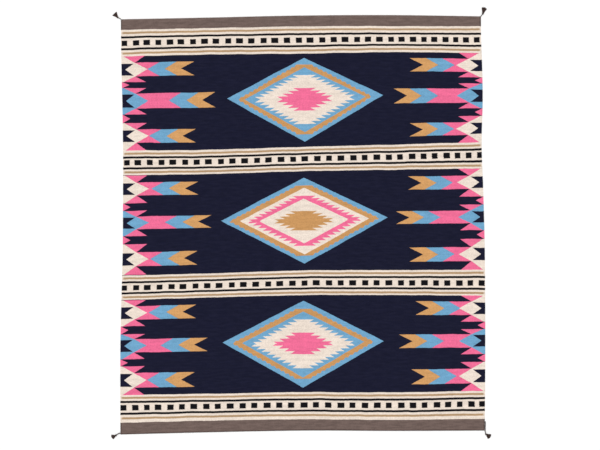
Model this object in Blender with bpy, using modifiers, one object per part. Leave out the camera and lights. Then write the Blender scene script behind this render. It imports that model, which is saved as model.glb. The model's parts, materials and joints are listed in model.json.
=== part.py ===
"""A southwest style flatwoven rug, lying flat, with a yarn tassel at each corner.

The cloth is one sheet. Its ends bow and its selvedges draw in a little, as hand loom
work does, so its outline is an even rectangle plus short tables of offsets.
Each tassel is one solid: a twisted neck cord, a bound head and a skirt of locks.
X runs across the rug, Y from its near end to its far end, and the floor is Z = 0.
"""
import math
from collections import namedtuple

import bmesh
import bpy
from mathutils import Matrix, Vector

COLLECTION = "southwest_style_rug"
MM = 0.001

# Cloth sizes, in metres
WIDTH = 2.390
LENGTH = 2.743
THICKNESS = 0.004
EDGE_ROUND = 0.0012
EDGE_POINTS = 24
WELD_DISTANCE = 0.00005
SEAT_GAP = 0.0003

# How far the two ends stray from straight, in millimetres towards the far end.
# Across runs from -1 at the left selvedge to 1 at the right one.
End = namedtuple("End", "across far near")
END_WANDER = (
    End(-1.00, -25.0, -26.0),
    End(-0.50, -13.0, -11.0),
    End(0.00, 0.0, 0.0),
    End(0.50, 3.0, -2.0),
    End(1.00, -5.0, 0.0),
)

# How far the two selvedges stray, in millimetres towards the right.
# Along runs from 0 at the far end to 1 at the near end.
Side = namedtuple("Side", "along left right")
SIDE_WANDER = (
    Side(0.00, 6.0, -5.0),
    Side(0.06, 7.0, -3.0),
    Side(0.12, 10.0, 3.0),
    Side(0.21, 16.0, 7.0),
    Side(0.32, 20.0, 0.0),
    Side(0.42, 20.0, 10.0),
    Side(0.55, 18.0, 20.0),
    Side(0.65, 11.0, 23.0),
    Side(0.78, 3.0, 24.0),
    Side(0.90, 2.0, 23.0),
    Side(1.00, 3.0, 20.0),
)

# Tassels. Across and along name the corner, and the neck's route is in steps from it, in
# millimetres. Beside 1 moves the whole neck out to lie along the right selvedge. The skirt
# has a heading in degrees from +X, a reach in millimetres from its root, and a half spread
# in degrees. A cut of 1 is straight across the skirt's end, and 0 is rounded.
Tassel = namedtuple(
    "Tassel", "name across along beside route radius half_turns heading reach half_spread cut")
TASSELS = (
    Tassel("tassel_far_left", -1, 0, 0, ((-0.25, 0.21), (-8.0, 6.5), (-16.0, 10.0)),
           2.7, 3, 132.0, 34.0, 28.0, 1.0),
    Tassel("tassel_far_right", 1, 0, 0, ((0.21, 0.25), (5.5, 6.5), (10.2, 13.0)),
           2.7, 3, 75.0, 39.0, 24.0, 0.0),
    Tassel("tassel_near_left", -1, 1, 0, ((-1.35, 9.0), (-14.0, 5.0), (-26.2, -3.0)),
           3.5, 3, 207.0, 26.0, 33.0, 0.0),
    Tassel("tassel_near_right", 1, 1, 1,
           ((1.1, 60.0), (0.7, 32.0), (0.4, 6.0), (0.6, -5.0), (3.2, -19.0)),
           3.2, 9, -33.0, 31.0, 34.0, 0.0),
)
NECK_STEP = 0.0026
PLY_GROOVE = 0.20

# Sections from the end of the neck to the root of the skirt, in millimetres: the distance
# past the neck, half the width and half the height. The dip is the binding of the head.
HeadSection = namedtuple("HeadSection", "past half_width half_height")
HEAD_SECTIONS = (
    HeadSection(2.5, 5.2, 4.3),
    HeadSection(5.5, 6.4, 4.9),
    HeadSection(8.5, 5.6, 4.3),
    HeadSection(11.0, 6.2, 4.4),
)

# Skirt: four sided locks, in layers that lie on the floor and on each other, in metres
LOCK_COLUMNS = 8
LOCK_LAYERS = 3
LOCK_HALF_WIDTH = 0.0019
LOCK_HALF_HEIGHT = 0.0011
ROOT_PITCH = 0.0014
LOCK_FILL = 0.8
ROOT_HALF_HEIGHT = 0.0010
ROOT_INSET = 0.00016
LAYER_GAP = 0.0005
LAYER_REACH = (1.0, 0.92, 0.82)
LAYER_SPREAD = (1.0, 0.93, 0.85)
LOCK_STATIONS = (0.10, 0.32, 0.62, 1.0)
SETTLE_DISTANCE = 0.016
SIDE_SHORTENING = 0.14
LENGTH_VARIATION = 0.0012
SWAY = 0.0008

# Colours, linear, and the roughness of the wool
CLOTH_COLOUR = (0.12, 0.09, 0.12, 1.0)
TASSEL_COLOUR = (0.045, 0.030, 0.027, 1.0)
WOOL_ROUGHNESS = 0.92


def clear_scene():
    for old in list(bpy.data.objects):
        bpy.data.objects.remove(old, do_unlink=True)


def make_material(name, colour):
    material = bpy.data.materials.new(name)
    material.use_nodes = True
    shader = material.node_tree.nodes["Principled BSDF"]
    shader.inputs["Base Color"].default_value = colour
    shader.inputs["Roughness"].default_value = WOOL_ROUGHNESS
    shader.inputs["Metallic"].default_value = 0.0
    return material


def smooth_value(places, values, at):
    """Value at a place on a smooth curve through the values at the given places."""
    last = len(places) - 1
    start = max(k for k in range(last) if k == 0 or at >= places[k])
    span = places[start + 1] - places[start]

    def slope(k):
        low, high = max(0, k - 1), min(last, k + 1)
        return (values[high] - values[low]) / (places[high] - places[low])

    t = (at - places[start]) / span
    rise = values[start + 1] - values[start]
    leave, arrive = slope(start) * span, slope(start + 1) * span
    curved = t * (1 - t) * ((1 - t) * (leave - rise) - t * (arrive - rise))
    return values[start] + rise * t + curved


def wander(table, place_column, value_column, at):
    """How far an edge strays at a place, in metres, from one column of its table."""
    places = [getattr(row, place_column) for row in table]
    values = [getattr(row, value_column) * MM for row in table]
    return smooth_value(places, values, at)


def cloth_point(across, along):
    """Where a place on the cloth lies, across from -1 to 1 and along from 0 to 1."""
    left = -WIDTH / 2 + wander(SIDE_WANDER, "along", "left", along)
    right = WIDTH / 2 + wander(SIDE_WANDER, "along", "right", along)
    far = LENGTH / 2 + wander(END_WANDER, "across", "far", across)
    near = -LENGTH / 2 + wander(END_WANDER, "across", "near", across)
    x = left + (right - left) * (across + 1) / 2
    y = far + (near - far) * along
    return Vector((x, y, 0.0))


def outline_points():
    """The cloth's outline, once round from the far left corner."""
    steps = [k / EDGE_POINTS for k in range(EDGE_POINTS)]
    far_end = [cloth_point(-1 + 2 * t, 0) for t in steps]
    right_side = [cloth_point(1, t) for t in steps]
    near_end = [cloth_point(1 - 2 * t, 1) for t in steps]
    left_side = [cloth_point(-1, 1 - t) for t in steps]
    return far_end + right_side + near_end + left_side


def model_cloth(collection):
    """One flat sheet: a filled outline, extruded, with its rim rounded over."""
    curve = bpy.data.curves.new("rug_cloth", "CURVE")
    curve.dimensions = "2D"
    curve.fill_mode = "BOTH"
    curve.extrude = THICKNESS / 2
    spline = curve.splines.new("POLY")
    points = outline_points()
    spline.points.add(len(points) - 1)
    for spot, point in zip(spline.points, points):
        spot.co = (point.x, point.y, 0.0, 1.0)
    spline.use_cyclic_u = True
    curve.materials.append(make_material("woven wool", CLOTH_COLOUR))
    cloth = bpy.data.objects.new("rug_cloth", curve)
    cloth.location.z = THICKNESS / 2
    collection.objects.link(cloth)
    weld = cloth.modifiers.new("join caps", "WELD")
    weld.merge_threshold = WELD_DISTANCE
    bevel = cloth.modifiers.new("round rim", "BEVEL")
    bevel.width = EDGE_ROUND
    bevel.segments = 2
    bevel.limit_method = "ANGLE"
    bevel.angle_limit = math.radians(40)
    return cloth


def heading_vector(degrees):
    angle = math.radians(degrees)
    return Vector((math.cos(angle), math.sin(angle), 0.0))


def right_of(run):
    """The level direction to the right of a level run."""
    return Vector((run.y, -run.x, 0.0)).normalized()


def ease(t):
    """A soft step from 0 to 1."""
    t = min(1.0, max(0.0, t))
    return t * t * (3 - 2 * t)


def neck_centres(route):
    """Points along a smooth curve through the neck's route, about one step apart."""
    spots = [Vector((x, y, 0.0)) * MM for x, y in route]
    places = [0.0]
    for before, after in zip(spots, spots[1:]):
        places.append(places[-1] + (after - before).length)
    count = round(places[-1] / NECK_STEP)
    steps = [places[-1] * k / count for k in range(count + 1)]
    xs = [spot.x for spot in spots]
    ys = [spot.y for spot in spots]
    return [Vector((smooth_value(places, xs, s), smooth_value(places, ys, s), 0.0)) for s in steps]


def disc_place(across, up):
    """A square grid's place, moved so that the square's rim becomes a circle."""
    return across * math.sqrt(1 - up * up / 2), up * math.sqrt(1 - across * across / 2)


def place_section(verts, chart, centre, run, half_width, half_height, turn, groove):
    """Lay one cross-section of the neck or head on the floor, square to the way it runs."""
    for vert in verts:
        across, up = disc_place(vert[chart].x, vert[chart].y)
        angle = math.atan2(up, across)
        radius = math.hypot(across, up) * (1 - groove * math.sin(angle) ** 2)
        flat = math.cos(angle + turn) * radius * half_width
        high = math.sin(angle + turn) * radius * half_height + half_height
        vert.co = centre + right_of(run) * flat + Vector((0.0, 0.0, high))


def extrude_front(bm, faces):
    """Extrude the front faces in place and return the new front faces and verts."""
    edges = {edge for face in faces for edge in face.edges}
    verts = {vert for face in faces for vert in face.verts}
    made = bmesh.ops.extrude_face_region(bm, geom=[*faces, *edges, *verts])["geom"]
    new_faces = [item for item in made if isinstance(item, bmesh.types.BMFace)]
    new_verts = [item for item in made if isinstance(item, bmesh.types.BMVert)]
    return new_faces, new_verts


def grow_neck(bm, chart, tassel):
    """Draw the two-ply neck cord out of its first section, turning as it goes."""
    centres = neck_centres(tassel.route)
    radius = tassel.radius * MM
    front, verts = list(bm.faces), list(bm.verts)
    last = len(centres) - 1
    for k, centre in enumerate(centres):
        run = centres[min(k + 1, last)] - centres[max(k - 1, 0)]
        turn = math.pi * tassel.half_turns * k / last
        place_section(verts, chart, centre, run, radius, radius, turn, PLY_GROOVE)
        front, verts = extrude_front(bm, front)
    return front, verts, centres[-1], (centres[-1] - centres[-2]).normalized()


def grow_head(bm, chart, tassel, front, verts, centre, neck_run):
    """Swell the neck into the bound head, bending to the skirt's heading."""
    heading = heading_vector(tassel.heading)
    turn = math.pi * tassel.half_turns
    passed = 0.0
    for section in HEAD_SECTIONS:
        if passed:
            front, verts = extrude_front(bm, front)
        run = neck_run.lerp(heading, ease(section.past / HEAD_SECTIONS[-1].past)).normalized()
        centre = centre + run * ((section.past - passed) * MM)
        passed = section.past
        half_width, half_height = section.half_width * MM, section.half_height * MM
        place_section(verts, chart, centre, run, half_width, half_height, turn, 0.0)
    return front, centre


def grow_lock(bm, face, corners, column, layer, tassel):
    """Draw one lock out of its cell of the head, fanned out and laid on its layer."""
    spread = (2 * column / (LOCK_COLUMNS - 1) - 1) * LAYER_SPREAD[layer]
    turn = tassel.half_spread * spread
    run = heading_vector(tassel.heading - turn)
    side = right_of(run)
    straight = math.cos(math.radians(tassel.half_spread)) / math.cos(math.radians(turn))
    rounded = 1 - SIDE_SHORTENING * spread * spread
    cut = straight * tassel.cut + rounded * (1 - tassel.cut)
    uneven = LENGTH_VARIATION * math.sin(2.4 * column + 1.7 * layer)
    sway = SWAY * math.sin(1.9 * column + 2.6 * layer)
    length = tassel.reach * MM * cut * LAYER_REACH[layer] + uneven
    fan_step = math.radians(2 * tassel.half_spread) * LAYER_SPREAD[layer] / (LOCK_COLUMNS - 1)
    start = face.calc_center_median()
    rest = LOCK_HALF_HEIGHT + layer * (2 * LOCK_HALF_HEIGHT + LAYER_GAP)
    for station in LOCK_STATIONS:
        face = bmesh.ops.extrude_discrete_faces(bm, faces=[face])["faces"][0]
        settled = ease(station * length / SETTLE_DISTANCE)
        pitch = ROOT_PITCH + fan_step * station * length
        half_width = min(LOCK_HALF_WIDTH, LOCK_FILL * pitch / 2)
        half_height = ROOT_HALF_HEIGHT + (LOCK_HALF_HEIGHT - ROOT_HALF_HEIGHT) * settled
        centre = start + run * (station * length) + side * (sway * station * station)
        centre.z = start.z + (rest - start.z) * settled
        for vert, (across, up) in zip(face.verts, corners):
            vert.co = centre + side * (across * half_width) + Vector((0, 0, up * half_height))


def cell_corners(face, chart, flip):
    """Which corner of its grid cell each vertex of a face is, as signs across and up."""
    middle = sum((vert[chart] for vert in face.verts), Vector()) / len(face.verts)
    steps = [(vert[chart] - middle) * flip for vert in face.verts]
    return [(math.copysign(1, step.x), math.copysign(1, step.y)) for step in steps]


def grow_skirt(bm, chart, tassel, front, root):
    """Grow a lock from each cell of the head's end, layer by layer from the floor up."""
    flip = 1 if tassel.half_turns % 2 == 0 else -1
    corners = {face: cell_corners(face, chart, flip) for face in front}
    side = right_of(heading_vector(tassel.heading))
    by_height = sorted(front, key=lambda face: face.calc_center_median().z)
    bmesh.ops.inset_individual(bm, faces=front, thickness=ROOT_INSET, use_even_offset=True)
    for layer in range(LOCK_LAYERS):
        cells = by_height[layer * LOCK_COLUMNS:(layer + 1) * LOCK_COLUMNS]
        cells.sort(key=lambda face: (face.calc_center_median() - root).dot(side))
        for column, face in enumerate(cells):
            grow_lock(bm, face, corners[face], column, layer, tassel)


def model_tassel(tassel, collection, material):
    """A neck, a head and a skirt of locks, grown in turn as one closed solid."""
    bm = bmesh.new()
    chart = bm.verts.layers.float_vector.new("chart")
    bmesh.ops.create_grid(bm, x_segments=LOCK_COLUMNS, y_segments=LOCK_LAYERS, size=1.0)
    for vert in bm.verts:
        vert[chart] = vert.co.copy()
    front, verts, neck_end, neck_run = grow_neck(bm, chart, tassel)
    front, root = grow_head(bm, chart, tassel, front, verts, neck_end, neck_run)
    grow_skirt(bm, chart, tassel, front, root)
    bmesh.ops.recalc_face_normals(bm, faces=bm.faces)
    if bm.calc_volume(signed=True) < 0:
        bmesh.ops.reverse_faces(bm, faces=bm.faces)
    mesh = bpy.data.meshes.new(tassel.name)
    bm.to_mesh(mesh)
    bm.free()
    mesh.materials.append(material)
    item = bpy.data.objects.new(tassel.name, mesh)
    item.location = cloth_point(tassel.across, tassel.along)
    item.location.x += tassel.beside * (tassel.radius * MM + SEAT_GAP)
    collection.objects.link(item)
    return item


def centre_on_origin(items):
    """Move everything together so that the middle of its footprint is the origin."""
    bpy.context.view_layer.update()
    depsgraph = bpy.context.evaluated_depsgraph_get()
    spots = []
    for item in items:
        shaped = item.evaluated_get(depsgraph)
        mesh = shaped.to_mesh()
        spots += [item.matrix_world @ vert.co for vert in mesh.vertices]
        shaped.to_mesh_clear()
    middle_x = (min(spot.x for spot in spots) + max(spot.x for spot in spots)) / 2
    middle_y = (min(spot.y for spot in spots) + max(spot.y for spot in spots)) / 2
    for item in items:
        item.matrix_world = Matrix.Translation((-middle_x, -middle_y, 0.0)) @ item.matrix_world


def main():
    clear_scene()
    collection = bpy.data.collections.new(COLLECTION)
    bpy.context.scene.collection.children.link(collection)
    yarn = make_material("dark brown yarn", TASSEL_COLOUR)
    items = [model_cloth(collection)]
    for tassel in TASSELS:
        items.append(model_tassel(tassel, collection, yarn))
    centre_on_origin(items)


main()
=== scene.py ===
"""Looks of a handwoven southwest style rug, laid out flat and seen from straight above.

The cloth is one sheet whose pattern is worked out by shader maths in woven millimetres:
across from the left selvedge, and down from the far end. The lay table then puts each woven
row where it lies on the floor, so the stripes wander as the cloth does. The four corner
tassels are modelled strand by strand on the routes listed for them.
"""
from __future__ import annotations

import json
import logging
import math
from collections.abc import Sequence
from dataclasses import dataclass, field
from enum import Enum
from typing import TypeAlias

import bpy
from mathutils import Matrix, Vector, noise

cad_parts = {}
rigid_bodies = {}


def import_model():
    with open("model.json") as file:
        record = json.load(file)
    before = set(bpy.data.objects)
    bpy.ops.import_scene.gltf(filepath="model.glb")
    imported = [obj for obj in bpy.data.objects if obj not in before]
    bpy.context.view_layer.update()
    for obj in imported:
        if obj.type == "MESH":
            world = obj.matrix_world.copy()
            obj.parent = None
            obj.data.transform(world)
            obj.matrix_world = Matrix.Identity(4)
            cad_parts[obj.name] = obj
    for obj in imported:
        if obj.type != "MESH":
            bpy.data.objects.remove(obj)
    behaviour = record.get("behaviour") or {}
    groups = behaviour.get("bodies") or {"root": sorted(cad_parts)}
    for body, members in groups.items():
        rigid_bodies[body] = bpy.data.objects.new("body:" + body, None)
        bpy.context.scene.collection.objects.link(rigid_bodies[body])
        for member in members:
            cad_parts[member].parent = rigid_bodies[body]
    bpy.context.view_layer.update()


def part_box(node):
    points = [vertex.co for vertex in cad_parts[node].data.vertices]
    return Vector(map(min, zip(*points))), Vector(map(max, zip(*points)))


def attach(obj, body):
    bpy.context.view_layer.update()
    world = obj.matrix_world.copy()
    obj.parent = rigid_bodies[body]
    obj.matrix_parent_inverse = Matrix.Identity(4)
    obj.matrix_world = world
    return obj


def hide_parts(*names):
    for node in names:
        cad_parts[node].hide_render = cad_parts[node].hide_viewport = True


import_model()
log = logging.getLogger("rug")
Tree: TypeAlias = bpy.types.NodeTree

MM = 0.001
CLOTH_NODE = "rug_cloth"
BODY = "root"

# The cloth's cover map, and the share of it that the face takes; the rim has the rest
COVER_MAP = "OFBake"
MAP_SHARE = 0.994

# The woven cloth, in metres
WIDTH = 2.390
LENGTH = 2.743
THICKNESS = 0.004

# Photograph: its frame in pixels, the rug's scale in it, and its middle on the cloth
PHOTO_WIDTH_PX = 600
METRES_PER_PX = 0.0066096
VIEW_CENTRE = (-0.0053, -0.0129)

# How much of a yarn's photographed colour its dye has, in the studio's light
PAINT_GAIN = 0.92


def linear(red: int, green: int, blue: int, gain: float = 1.0) -> tuple[float, float, float, float]:
    """Linear colour of an sRGB triple.

    Args:
        red, green, blue: sRGB values from 0 to 255.
        gain: brightness factor on the linear colour.

    Returns:
        The linear colour, with alpha 1.
    """
    def channel(value: int) -> float:
        """One channel, made linear.

        Args:
            value: its sRGB value from 0 to 255.

        Returns:
            The linear value, from 0 to 1.
        """
        share = value / 255
        low = share / 12.92
        high = ((share + 0.055) / 1.055) ** 2.4
        return min(1.0, gain * (low if share <= 0.04045 else high))

    return channel(red), channel(green), channel(blue), 1.0


def smooth_value(places: Sequence[float], values: Sequence[float], at: float) -> float:
    """Value at a place on a smooth curve through the values at the given places.

    Args:
        places: rising places along the curve.
        values: the value at each place.
        at: the place to read.

    Returns:
        The curve's value there.
    """
    last = len(places) - 1
    start = max(k for k in range(last) if k == 0 or at >= places[k])
    span = places[start + 1] - places[start]

    def slope(k: int) -> float:
        """Slope of the curve at one of its places."""
        low, high = max(0, k - 1), min(last, k + 1)
        return (values[high] - values[low]) / (places[high] - places[low])

    t = (at - places[start]) / span
    rise = values[start + 1] - values[start]
    leave, arrive = slope(start) * span, slope(start + 1) * span
    curved = t * (1 - t) * ((1 - t) * (leave - rise) - t * (arrive - rise))
    return values[start] + rise * t + curved


def ease(t: float) -> float:
    """A soft step from 0 to 1."""
    t = min(1.0, max(0.0, t))
    return t * t * (3 - 2 * t)


def deselect_all() -> None:
    """Deselect every object, so that an operator acts on the new one alone."""
    for item in bpy.context.view_layer.objects:
        item.select_set(False)


class Wool(Enum):
    """Yarn colours of the rug, as the photograph shows them in sRGB."""

    BROWN = (118, 100, 94)
    DARK_BROWN = (88, 73, 68)
    TAN = (182, 150, 114)
    CREAM = (240, 225, 211)
    BLACK = (9, 8, 14)
    NAVY = (16, 18, 42)
    WORN_NAVY = (26, 27, 50)
    BLUE = (114, 168, 204)
    GOLD = (214, 160, 102)
    OCHRE = (204, 152, 96)
    PINK = (243, 111, 153)

    def paint(self) -> tuple[float, float, float, float]:
        """Linear colour of the yarn."""
        return linear(*self.value, gain=PAINT_GAIN)


@dataclass(frozen=True)
class LayRow:
    """A woven row and how far it strays towards the far end, at five places across.

    Attributes:
        down: woven distance from the far end, in millimetres.
        strays: millimetres at the left selvedge, a quarter, half and three quarters across,
            and the right selvedge.
    """

    down: float
    strays: tuple[float, float, float, float, float]


@dataclass(frozen=True)
class Lay:
    """Where the woven cloth lies on the floor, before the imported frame's own centring.

    Attributes:
        rows: how woven rows stray along the length.
        sides: places down the cloth from 0 to 1, and how far the left and the right selvedge
            stray to the right there, in millimetres.
    """

    rows: tuple[LayRow, ...] = (
        LayRow(0, (-25, -13, 0, 3, -5)),
        LayRow(71, (-23.5, -11.5, -0.5, 1.5, 0)),
        LayRow(251, (-20, -6.5, -0.5, 10, 2)),
        LayRow(869, (-25.5, -20, -1.5, 13.5, 30)),
        LayRow(1030, (-26, -16.5, 2, 11, 20.5)),
        LayRow(1684, (-36, -20.5, -1.5, 1, 3.5)),
        LayRow(1850, (-30, -12.5, 2, 3, -1)),
        LayRow(2490, (-17.5, -10, 1, -1, 11)),
        LayRow(2670, (-22, -7, 1.5, -2.5, 5)),
        LayRow(2743, (-26, -11, 0, -2, 0)),
    )
    sides: tuple[tuple[float, float, float], ...] = (
        (0.00, 6, -5),
        (0.06, 7, -3),
        (0.12, 10, 3),
        (0.21, 16, 7),
        (0.32, 20, 0),
        (0.42, 20, 10),
        (0.55, 18, 20),
        (0.65, 11, 23),
        (0.78, 3, 24),
        (0.90, 2, 23),
        (1.00, 3, 20),
    )

    def point(self, across: float, along: float) -> Vector:
        """Where a place on the cloth lies.

        Args:
            across: from -1 at the left selvedge to 1 at the right one.
            along: from 0 at the far end to 1 at the near end.

        Returns:
            The point on the floor, in metres.
        """
        places = [side[0] for side in self.sides]
        left = smooth_value(places, [side[1] * MM for side in self.sides], along) - WIDTH / 2
        right = smooth_value(places, [side[2] * MM for side in self.sides], along) + WIDTH / 2
        quarters = (-1.0, -0.5, 0.0, 0.5, 1.0)
        strays = [smooth_value(quarters, row.strays, across) * MM for row in self.rows]
        downs = [row.down * MM / LENGTH for row in self.rows]
        x = left + (right - left) * (across + 1) / 2
        y = LENGTH / 2 - LENGTH * along + smooth_value(downs, strays, along)
        return Vector((x, y, 0.0))


class Term:
    """A value in a node tree. Arithmetic on it adds Math nodes to the tree."""

    def __init__(self, tree: Tree, socket: bpy.types.NodeSocket) -> None:
        """Keep the tree and the output socket that carries the value."""
        self.tree = tree
        self.socket = socket

    def __add__(self, other: Term | float) -> Term:
        """Sum of two values."""
        return work_out(self.tree, "ADD", self, other)

    def __sub__(self, other: Term | float) -> Term:
        """Difference of two values."""
        return work_out(self.tree, "SUBTRACT", self, other)

    def __rsub__(self, other: float) -> Term:
        """A number less this value."""
        return work_out(self.tree, "SUBTRACT", other, self)

    def __mul__(self, other: Term | float) -> Term:
        """Product of two values."""
        return work_out(self.tree, "MULTIPLY", self, other)

    def __truediv__(self, other: Term | float) -> Term:
        """This value divided by another."""
        return work_out(self.tree, "DIVIDE", self, other)

    def __abs__(self) -> Term:
        """Size of the value, without its sign."""
        return work_out(self.tree, "ABSOLUTE", self)

    __radd__ = __add__
    __rmul__ = __mul__

    def least(self, other: Term | float) -> Term:
        """The lesser of two values."""
        return work_out(self.tree, "MINIMUM", self, other)

    def most(self, other: Term | float) -> Term:
        """The greater of two values."""
        return work_out(self.tree, "MAXIMUM", self, other)

    def above(self, other: Term | float) -> Term:
        """1 where this value is greater than the other, and 0 elsewhere."""
        return work_out(self.tree, "GREATER_THAN", self, other)

    def whole(self) -> Term:
        """The value rounded down."""
        return work_out(self.tree, "FLOOR", self)

    def part(self) -> Term:
        """What is left of the value above its whole part."""
        return work_out(self.tree, "FRACT", self)

    def wave(self) -> Term:
        """Sine of the value."""
        return work_out(self.tree, "SINE", self)

    def inside(self, softness: float) -> Term:
        """Mask of a distance inside an edge.

        Args:
            softness: half the width over which the edge fades.

        Returns:
            1 well inside, 0 well outside, and a soft step between.
        """
        node = self.tree.nodes.new("ShaderNodeMapRange")
        node.interpolation_type = "SMOOTHSTEP"
        self.tree.links.new(self.socket, node.inputs["Value"])
        node.inputs["From Min"].default_value = -softness
        node.inputs["From Max"].default_value = softness
        return Term(self.tree, node.outputs["Result"])


def work_out(tree: Tree, operation: str, *items: Term | float) -> Term:
    """Add one Math node.

    Args:
        tree: the node tree to add it to.
        operation: the Math node's operation.
        items: its inputs, each a value in the tree or a number.

    Returns:
        The node's value.
    """
    node = tree.nodes.new("ShaderNodeMath")
    node.operation = operation
    for slot, item in zip(node.inputs, items):
        if isinstance(item, Term):
            tree.links.new(item.socket, slot)
        else:
            slot.default_value = item
    return Term(tree, node.outputs[0])


def choose(first: Term | float, second: Term | float, pick: Term) -> Term:
    """The first value where pick is 0 and the second where it is 1."""
    return first * (1 - pick) + second * pick


class Group:
    """A shader node group with named inputs and outputs, built once and placed many times."""

    def __init__(self, name: str) -> None:
        """Start an empty group.

        Args:
            name: the group's name.
        """
        self.tree = bpy.data.node_groups.new(name, "ShaderNodeTree")
        self.entry = self.tree.nodes.new("NodeGroupInput")
        self.exit = self.tree.nodes.new("NodeGroupOutput")

    def take(self, *names: str) -> list[Term]:
        """Add number inputs.

        Args:
            names: the inputs' names.

        Returns:
            Their values inside the group.
        """
        for name in names:
            self.tree.interface.new_socket(name, in_out="INPUT", socket_type="NodeSocketFloat")
        return [Term(self.tree, self.entry.outputs[name]) for name in names]

    def give(self, name: str, value: Term) -> None:
        """Add a number output that carries a value."""
        self.tree.interface.new_socket(name, in_out="OUTPUT", socket_type="NodeSocketFloat")
        self.tree.links.new(value.socket, self.exit.inputs[name])

    def place(
        self, tree: Tree, row: Band | Lozenge | Feather | None = None, **inputs: Term | float
    ) -> dict[str, Term]:
        """Place the group in a tree.

        Args:
            tree: the tree to place it in.
            row: the sizes that its inputs of the same names take.
            inputs: a value or number for each other input, with _ for a space.

        Returns:
            Its outputs by name.
        """
        node = tree.nodes.new("ShaderNodeGroup")
        node.node_tree = self.tree
        for slot in node.inputs:
            name = slot.name.lower().replace(" ", "_")
            item = inputs[name] if name in inputs else getattr(row, name)
            if isinstance(item, Term):
                tree.links.new(item.socket, slot)
            else:
                slot.default_value = item
        return {output.name: Term(tree, output) for output in node.outputs}


def noise_value(tree: Tree, place: Term, scale: float, detail: float, seed: float) -> Term:
    """Noise from about -1 to 1.

    Args:
        tree: the tree to add it to.
        place: the vector that it varies over.
        scale: noise cells for each unit of the vector.
        detail: how many finer layers are added.
        seed: shifts the noise to another part of itself.

    Returns:
        The noise value.
    """
    node = tree.nodes.new("ShaderNodeTexNoise")
    node.noise_dimensions = "4D"
    node.inputs["Scale"].default_value = scale
    node.inputs["Detail"].default_value = detail
    node.inputs["W"].default_value = seed
    tree.links.new(place.socket, node.inputs["Vector"])
    return (Term(tree, node.outputs["Fac"]) - 0.5) * 2.0


def vector_of(tree: Tree, *parts: Term | float) -> Term:
    """A vector made of up to three values.

    Args:
        tree: the tree to add it to.
        parts: its parts, each a value in the tree or a number.

    Returns:
        The vector.
    """
    node = tree.nodes.new("ShaderNodeCombineXYZ")
    for slot, item in zip(node.inputs, parts):
        if isinstance(item, Term):
            tree.links.new(item.socket, slot)
        else:
            slot.default_value = item
    return Term(tree, node.outputs[0])


def chance(tree: Tree, *parts: Term | float) -> Term:
    """A fixed random value for each whole place.

    Args:
        tree: the tree to add it to.
        parts: the place, as up to three values or numbers.

    Returns:
        A value from 0 to 1.
    """
    node = tree.nodes.new("ShaderNodeTexWhiteNoise")
    tree.links.new(vector_of(tree, *parts).socket, node.inputs["Vector"])
    return Term(tree, node.outputs["Value"])


class Painting:
    """Colours laid over each other in a node tree, as a weaver lays in the yarns."""

    def __init__(self, tree: Tree, ground: Wool) -> None:
        """Start with one yarn all over.

        Args:
            tree: the tree to paint in.
            ground: the yarn.
        """
        self.tree = tree
        node = tree.nodes.new("ShaderNodeRGB")
        node.outputs[0].default_value = ground.paint()
        self.colour = node.outputs[0]

    def lay(self, yarn: Wool, mask: Term) -> None:
        """Lay a yarn over what is there.

        Args:
            yarn: the yarn.
            mask: 1 where it is laid.
        """
        node = self.tree.nodes.new("ShaderNodeMix")
        node.data_type = "RGBA"
        self.tree.links.new(mask.socket, node.inputs[0])
        self.tree.links.new(self.colour, node.inputs[6])
        node.inputs[7].default_value = yarn.paint()
        self.colour = node.outputs[2]

    def shade(self, factor: Term) -> None:
        """Multiply the colour by a value.

        Args:
            factor: the value.
        """
        node = self.tree.nodes.new("ShaderNodeVectorMath")
        node.operation = "SCALE"
        self.tree.links.new(self.colour, node.inputs[0])
        self.tree.links.new(factor.socket, node.inputs["Scale"])
        self.colour = node.outputs[0]


@dataclass(frozen=True)
class Band:
    """A patterned band. All distances are in millimetres down from its far edge.

    Attributes:
        start: the band's far edge, down from the cloth's far end.
        length: how wide the band is along the cloth.
        tan_far, dark_far, squares, dark_near, tan_near: middles of its lines.
        count: how many dark squares it has.
        first, last: middles of its outer squares, in from the left and the right selvedge.
        bow, sway: how its squares drift to the right, as a bow and as a sway across.
    """

    start: float
    length: float
    tan_far: float
    dark_far: float
    squares: float
    dark_near: float
    tan_near: float
    count: int
    first: float
    last: float
    bow: float
    sway: float


@dataclass(frozen=True)
class Chevrons:
    """Where the chevrons of a left feather point, in millimetres in from the selvedge.

    Attributes:
        blue, gold: where the blue and the gold begin.
        notch: how far in the notch at the end points.
    """

    blue: float
    gold: float
    notch: float


@dataclass(frozen=True)
class Feather:
    """A pair of notched bars that reach in from the two selvedges.

    Attributes:
        left, right: middle of the bar on each side, in millimetres down the field.
        half: half the height of the bar.
        far_base, near_base: where the pink triangles beyond the bar end.
        tip: the yarn of the diamond at the selvedge.
        chevrons: where its chevrons point.
        left_longer, right_longer: how much further than usual each side's chevrons reach.
    """

    left: float
    right: float
    half: float
    far_base: float
    near_base: float
    tip: Wool
    chevrons: Chevrons
    left_longer: float
    right_longer: float


@dataclass(frozen=True)
class Lozenge:
    """One layer of a nested diamond, in millimetres.

    Attributes:
        paint: its yarn.
        wide_row: its widest row, down from the field's far edge.
        far, near: how far it reaches from that row towards each end.
        reach: half its width at that row.
        lean: how far it stands to the right of the field's middle.
        blunt: how much of its side points is cut off.
        tip: half the width of its flat end, where it has teeth.
        teeth, near_teeth: teeth on each side towards the far and the near end, 0 for none.
        tooth: how long a tooth is.
    """

    paint: Wool
    wide_row: float
    far: float
    near: float
    reach: float
    lean: float = 0.0
    blunt: float = 0.0
    tip: float = 0.0
    teeth: float = 0.0
    near_teeth: float = 0.0
    tooth: float = 0.0


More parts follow.
